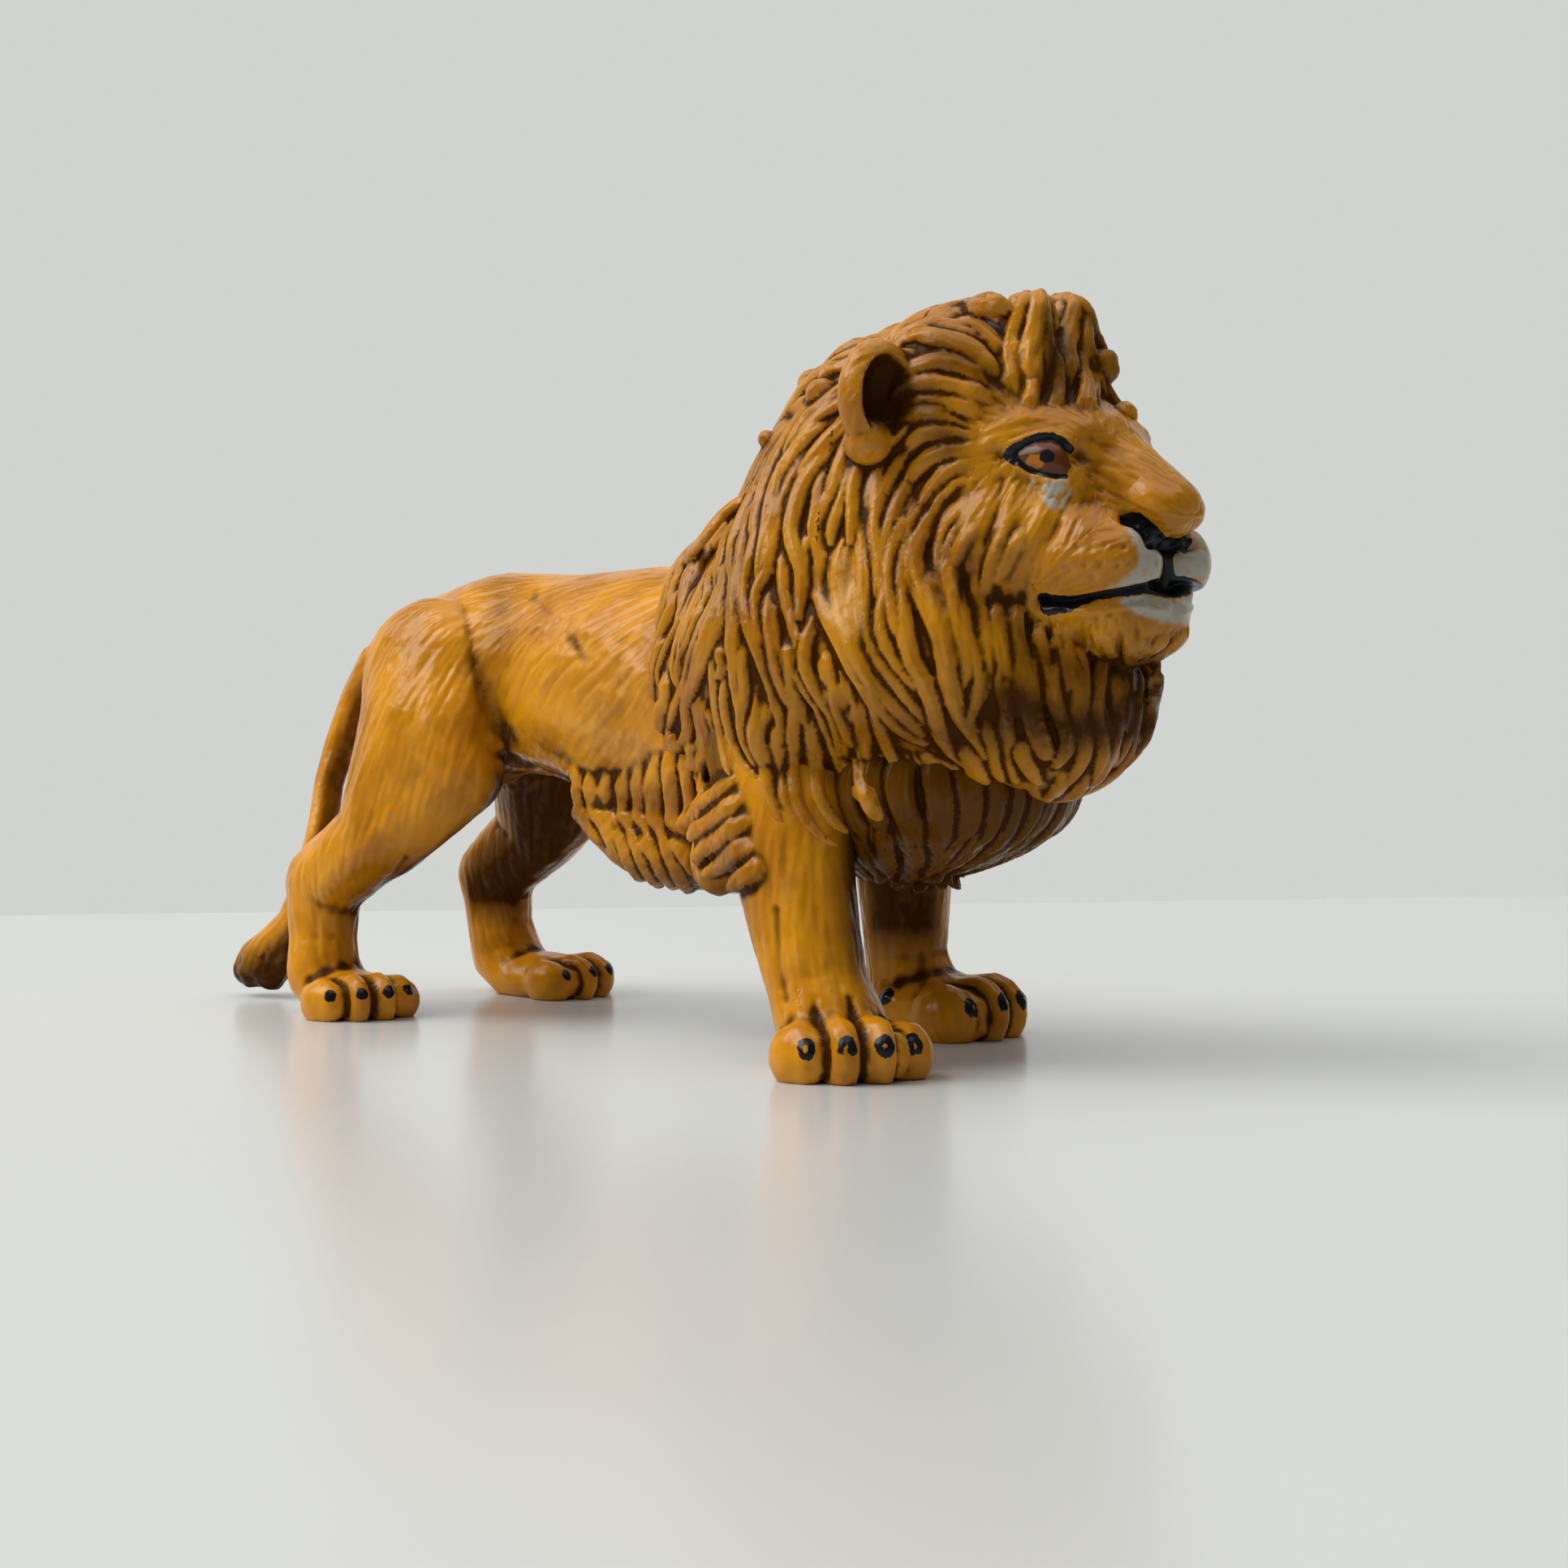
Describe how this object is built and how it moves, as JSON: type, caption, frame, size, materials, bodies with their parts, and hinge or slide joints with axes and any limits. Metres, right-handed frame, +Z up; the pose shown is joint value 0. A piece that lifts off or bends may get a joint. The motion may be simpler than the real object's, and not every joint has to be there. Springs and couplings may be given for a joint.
{
  "type": "toy lion figure",
  "caption": "Solid moulded toy lion standing on all fours, with a full mane, a hanging tail and flat soles that it rests on.",
  "frame": {"origin": "middle of the figure's footprint box, on the surface it stands on", "axes": "+X from tail to nose, +Y towards the lion's left side, +Z up"},
  "size_m": [0.1272, 0.0474, 0.0758],
  "materials": {
    "body": "satin moulded plastic",
    "mane": "satin moulded plastic",
    "ruff": "satin moulded plastic"
  },
  "bodies": {
    "root": {"torso": "body", "right_hind_leg": "body", "left_hind_leg": "body", "right_foreleg": "body", "left_foreleg": "body", "tail": "body", "mane_collar": "mane", "head": "mane", "chest_ruff": "ruff"}
  },
  "joints": []
}
